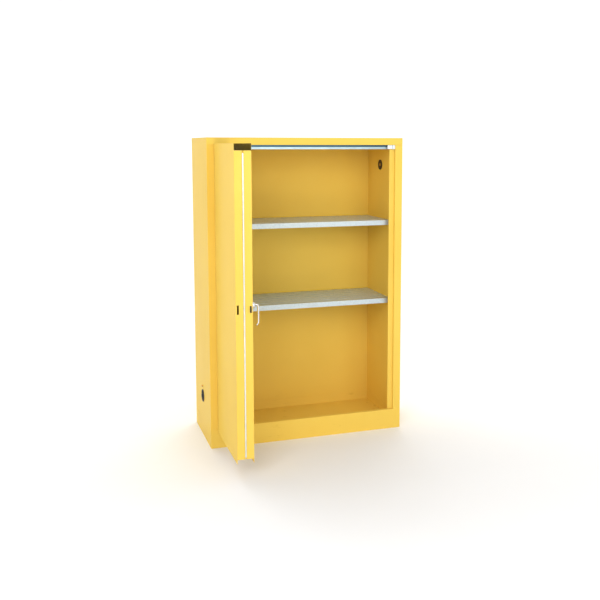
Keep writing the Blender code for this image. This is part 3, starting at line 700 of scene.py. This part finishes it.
def rose():
    """The lever's stepped, domed rose."""
    low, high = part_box("handle_rose")
    y, z = (low.y + high.y) / 2, (low.z + high.z) / 2
    radius, tall = (high.y - low.y) / 2, high.x - low.x
    profile = [(ROSE_BORE, 0), (radius, 0), (radius, 0.0022), (radius - 0.0006, 0.0030),
               (radius - 0.0022, 0.0034), (radius - 0.0026, 0.0042), (radius - 0.0030, 0.0120),
               (radius - 0.0034, tall - 0.0050), (radius - 0.0042, tall - 0.0024),
               (radius - 0.0060, tall - 0.0007), (radius - 0.0082, tall),
               (ROSE_BORE + 0.0012, tall), (ROSE_BORE, tall - 0.0010)]
    bm = bmesh.new()
    add_turned(bm, profile, (low.x, y, z), (1, 0, 0), ROSE_SIDES, closed=True)
    piece("handle_rose_fine", bm, "leaf_b", "chrome", ["handle_rose"])


fold_hinge()
jamb_hinge()
vent_cap("left", -1)
vent_cap("right", 1)
arrester("left")
arrester("right")
earth_stud()
lever()
rose()


# ---------------------------------------------------------------- stage, light and camera
def stage():
    """A white floor that curves up into a back wall."""
    bm = bmesh.new()
    bend = STAGE_BACK - STAGE_CURVE
    outline = [(-STAGE_HALF, 0.0), (bend, 0.0)]
    for i in range(1, CURVE_STEPS + 1):
        angle = math.pi / 2 * i / CURVE_STEPS
        outline.append((bend + STAGE_CURVE * math.sin(angle),
                        STAGE_CURVE - STAGE_CURVE * math.cos(angle)))
    outline.append((STAGE_BACK, STAGE_RISE))
    rows = []
    for y, z in outline:
        rows.append([bm.verts.new((x, y, z)) for x in (-STAGE_HALF, STAGE_HALF)])
    for a, b in zip(rows, rows[1:]):
        bm.faces.new((a[0], a[1], b[1], b[0]))
    mesh = bpy.data.meshes.new("pale_floor")
    bm.to_mesh(mesh)
    bm.free()
    mesh.shade_smooth()
    mesh.materials.append(floor_look("pale_floor"))
    obj = bpy.data.objects.new("pale_floor", mesh)
    bpy.context.scene.collection.objects.link(obj)


def soft_box(name, at, aim, size, power):
    light = bpy.data.lights.new(name, "AREA")
    light.shape = "RECTANGLE"
    light.size, light.size_y = size
    light.energy = power
    obj = bpy.data.objects.new(name, light)
    obj.location = at
    obj.rotation_euler = (Vector(aim) - Vector(at)).to_track_quat("-Z", "Y").to_euler()
    bpy.context.scene.collection.objects.link(obj)


def studio():
    """Four soft boxes in a pale room."""
    for lamp in LAMPS:
        soft_box(*lamp)
    world = bpy.data.worlds.new("studio")
    world.use_nodes = True
    nodes, links = world.node_tree.nodes, world.node_tree.links
    background = nodes["Background"]
    # the room is darker behind and to the left
    toward = nodes.new("ShaderNodeVectorMath")
    toward.operation = "DOT_PRODUCT"
    toward.inputs[1].default_value = ROOM_BRIGHT_SIDE
    links.new(nodes.new("ShaderNodeTexCoord").outputs["Generated"], toward.inputs[0])
    fade = nodes.new("ShaderNodeMapRange")
    limits = zip(("From Min", "From Max", "To Min", "To Max"), ROOM_SPAN + ROOM_LEVELS)
    for key, value in limits:
        fade.inputs[key].default_value = value
    links.new(toward.outputs["Value"], fade.inputs["Value"])
    links.new(fade.outputs["Result"], background.inputs["Color"])
    # seen directly, past the edge of the paper, the room is plain white
    plain = nodes.new("ShaderNodeBackground")
    both = nodes.new("ShaderNodeMixShader")
    links.new(nodes.new("ShaderNodeLightPath").outputs["Is Camera Ray"], both.inputs["Fac"])
    links.new(background.outputs["Background"], both.inputs[1])
    links.new(plain.outputs["Background"], both.inputs[2])
    links.new(both.outputs["Shader"], nodes["World Output"].inputs["Surface"])
    plain.inputs["Color"].default_value = WHITE
    bpy.context.scene.world = world


def camera():
    data = bpy.data.cameras.new("camera")
    data.lens = CAMERA_LENS
    data.sensor_width = 36.0
    data.shift_x, data.shift_y = CAMERA_SHIFT
    obj = bpy.data.objects.new("camera", data)
    right = CAMERA_FORWARD.cross(CAMERA_UP).normalized()
    up = right.cross(CAMERA_FORWARD).normalized()
    back = -CAMERA_FORWARD.normalized()
    turn = Matrix((right, up, back)).transposed().to_4x4()
    obj.matrix_world = Matrix.Translation(CAMERA_AT) @ turn
    bpy.context.scene.collection.objects.link(obj)
    bpy.context.scene.camera = obj


stage()
studio()
camera()
bpy.context.scene.view_settings.view_transform = "Standard"


def write_sizes():
    """Imports json and does nothing else."""
    import json


write_sizes()
